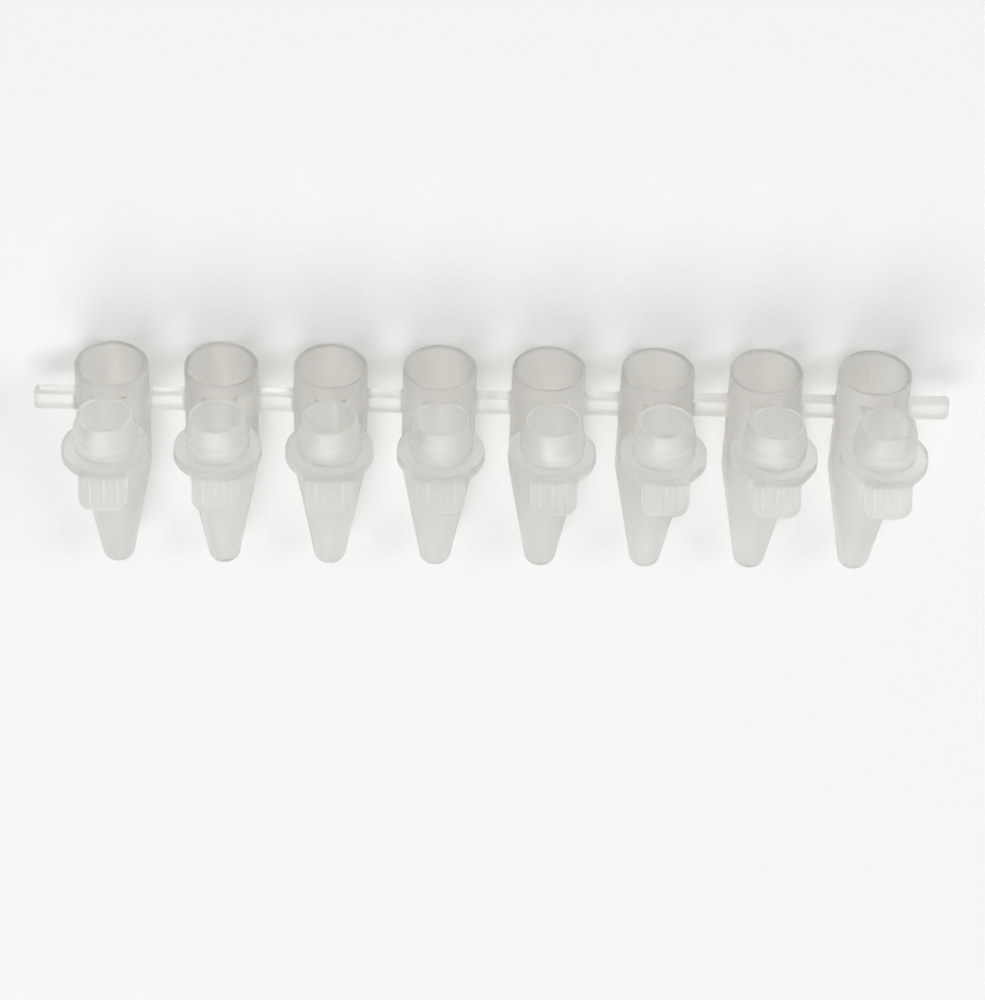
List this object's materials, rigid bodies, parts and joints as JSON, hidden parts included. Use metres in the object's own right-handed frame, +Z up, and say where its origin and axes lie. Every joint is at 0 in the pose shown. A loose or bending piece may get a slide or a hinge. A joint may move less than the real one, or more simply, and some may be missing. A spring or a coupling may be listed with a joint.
{
  "type": "pcr tube strip",
  "caption": "Row of thin-wall conical reaction tubes joined by a web, each with its own flat cap on a living hinge, caps open.",
  "frame": {"origin": "middle of the row, on the surface that the strip lies on, under the middle of its depth", "axes": "+X along the row of tubes, -Y the way the tubes' mouths face, +Z up from the tubes' backs to the open caps"},
  "size_m": [0.076, 0.0226, 0.0173],
  "materials": {
    "natural_polypropylene": "uncoloured polypropylene, milky and see-through, smooth from the mould",
    "thin_polypropylene": "the same plastic as a thin flexible web, nearly clear"
  },
  "bodies": {
    "strip": {"tube_strip": "natural_polypropylene", "hinge_strap_1": "thin_polypropylene", "hinge_strap_2": "thin_polypropylene", "hinge_strap_3": "thin_polypropylene", "hinge_strap_4": "thin_polypropylene", "hinge_strap_5": "thin_polypropylene", "hinge_strap_6": "thin_polypropylene", "hinge_strap_7": "thin_polypropylene", "hinge_strap_8": "thin_polypropylene"},
    "cap_1": {"cap_1": "natural_polypropylene"},
    "cap_2": {"cap_2": "natural_polypropylene"},
    "cap_3": {"cap_3": "natural_polypropylene"},
    "cap_4": {"cap_4": "natural_polypropylene"},
    "cap_5": {"cap_5": "natural_polypropylene"},
    "cap_6": {"cap_6": "natural_polypropylene"},
    "cap_7": {"cap_7": "natural_polypropylene"},
    "cap_8": {"cap_8": "natural_polypropylene"}
  },
  "joints": [
    {"name": "cap_1_hinge", "type": "hinge", "parent": "strip", "child": "cap_1", "pos_m": [-0.0315, -0.0089, 0.00753], "axis": [1, 0, 0], "range_deg": [-25, 179.8], "stiffness_Nm_per_rad": 0.0002, "deforming": ["hinge_strap_1"]},
    {"name": "cap_2_hinge", "type": "hinge", "parent": "strip", "child": "cap_2", "pos_m": [-0.0225, -0.0089, 0.00753], "axis": [1, 0, 0], "range_deg": [-25, 179.8], "stiffness_Nm_per_rad": 0.0002, "deforming": ["hinge_strap_2"]},
    {"name": "cap_3_hinge", "type": "hinge", "parent": "strip", "child": "cap_3", "pos_m": [-0.0135, -0.0089, 0.00753], "axis": [1, 0, 0], "range_deg": [-25, 179.8], "stiffness_Nm_per_rad": 0.0002, "deforming": ["hinge_strap_3"]},
    {"name": "cap_4_hinge", "type": "hinge", "parent": "strip", "child": "cap_4", "pos_m": [-0.0045, -0.0089, 0.00753], "axis": [1, 0, 0], "range_deg": [-25, 179.8], "stiffness_Nm_per_rad": 0.0002, "deforming": ["hinge_strap_4"]},
    {"name": "cap_5_hinge", "type": "hinge", "parent": "strip", "child": "cap_5", "pos_m": [0.0045, -0.0089, 0.00753], "axis": [1, 0, 0], "range_deg": [-25, 179.8], "stiffness_Nm_per_rad": 0.0002, "deforming": ["hinge_strap_5"]},
    {"name": "cap_6_hinge", "type": "hinge", "parent": "strip", "child": "cap_6", "pos_m": [0.0135, -0.0089, 0.00753], "axis": [1, 0, 0], "range_deg": [-25, 179.8], "stiffness_Nm_per_rad": 0.0002, "deforming": ["hinge_strap_6"]},
    {"name": "cap_7_hinge", "type": "hinge", "parent": "strip", "child": "cap_7", "pos_m": [0.0225, -0.0089, 0.00753], "axis": [1, 0, 0], "range_deg": [-25, 179.8], "stiffness_Nm_per_rad": 0.0002, "deforming": ["hinge_strap_7"]},
    {"name": "cap_8_hinge", "type": "hinge", "parent": "strip", "child": "cap_8", "pos_m": [0.0315, -0.0089, 0.00753], "axis": [1, 0, 0], "range_deg": [-25, 179.8], "stiffness_Nm_per_rad": 0.0002, "deforming": ["hinge_strap_8"]}
  ]
}
